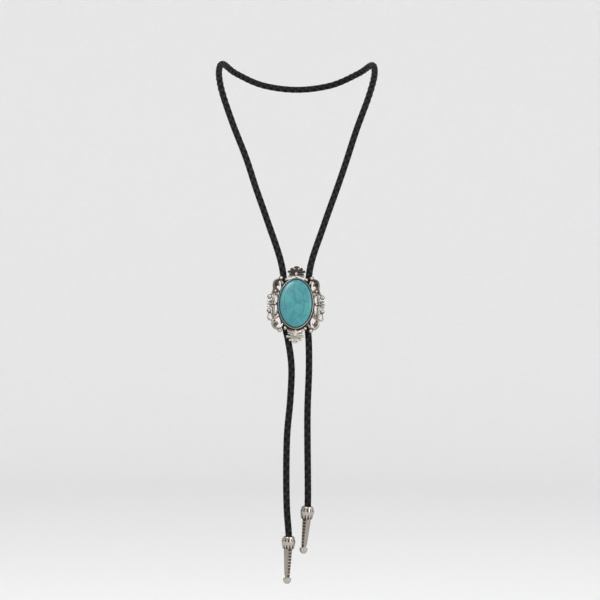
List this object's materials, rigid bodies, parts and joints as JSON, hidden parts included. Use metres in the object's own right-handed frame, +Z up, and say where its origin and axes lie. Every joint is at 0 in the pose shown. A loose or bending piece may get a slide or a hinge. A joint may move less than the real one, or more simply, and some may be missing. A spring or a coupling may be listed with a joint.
{
  "type": "bolo tie",
  "caption": "Braided cord necktie worn as a loop, drawn together by an openwork oval slide with a cabochon stone, with a cast metal tip on each hanging end.",
  "frame": {"origin": "the point of the nape that the inside of the cord rests on", "axes": "+Z up as worn, -Y the way the wearer faces, +X to the wearer's left"},
  "size_m": [0.1353, 0.1856, 0.4259],
  "materials": {
    "black_leather": "satin, round braid",
    "antique_silver": "bright on the high places, dark in the recesses",
    "turquoise_stone": "polished, with fine dark veins",
    "clip_steel": "satin"
  },
  "bodies": {
    "root": {"braided_cord": "black_leather", "slide_frame": "antique_silver", "stone": "turquoise_stone", "cord_clip": "clip_steel", "tip_left": "antique_silver", "tip_right": "antique_silver"}
  },
  "joints": []
}
